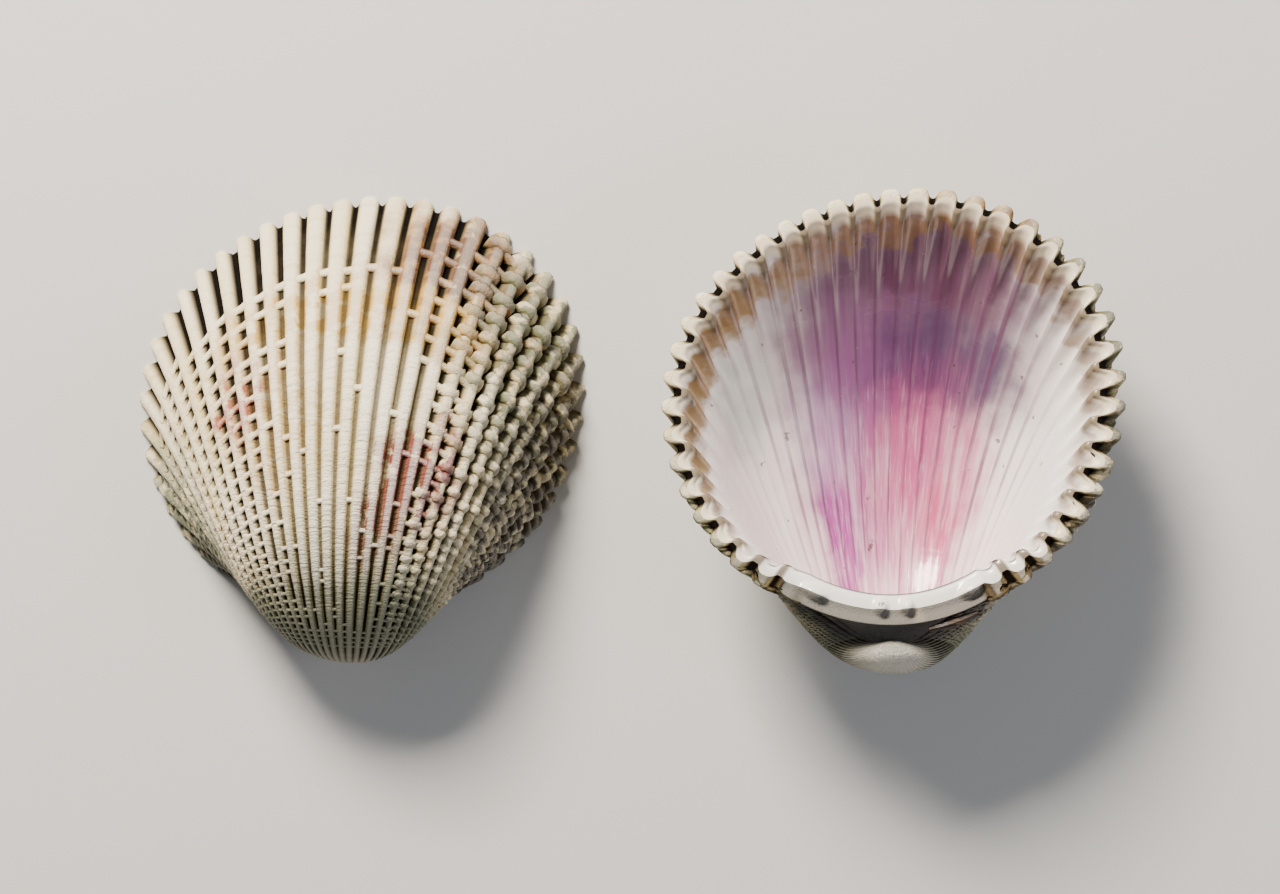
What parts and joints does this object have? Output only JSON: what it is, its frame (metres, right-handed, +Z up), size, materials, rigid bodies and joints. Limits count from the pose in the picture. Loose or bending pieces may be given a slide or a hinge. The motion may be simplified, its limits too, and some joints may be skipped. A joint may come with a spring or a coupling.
{
  "type": "cockle shell",
  "caption": "Loose pair of ribbed cockle valves side by side, dome up and hollow up, with a toothed margin, hooked beaks and a toothed hinge plate.",
  "frame": {"origin": "centre of the footprint of both valves as they lie, on the floor", "axes": "+X from the dome-up valve to the hollow-up valve, which is also each shell's rear; +Y from the hinges to the margins opposite; +Z up"},
  "size_m": [0.1074, 0.0528, 0.0214],
  "materials": {
    "shell_outside": "chalky",
    "shell_inside": "porcelain gloss",
    "ligament": "dry and dull"
  },
  "bodies": {
    "root": {"right_valve": "shell_outside", "left_valve": "shell_inside", "ligament": "ligament"}
  },
  "joints": []
}
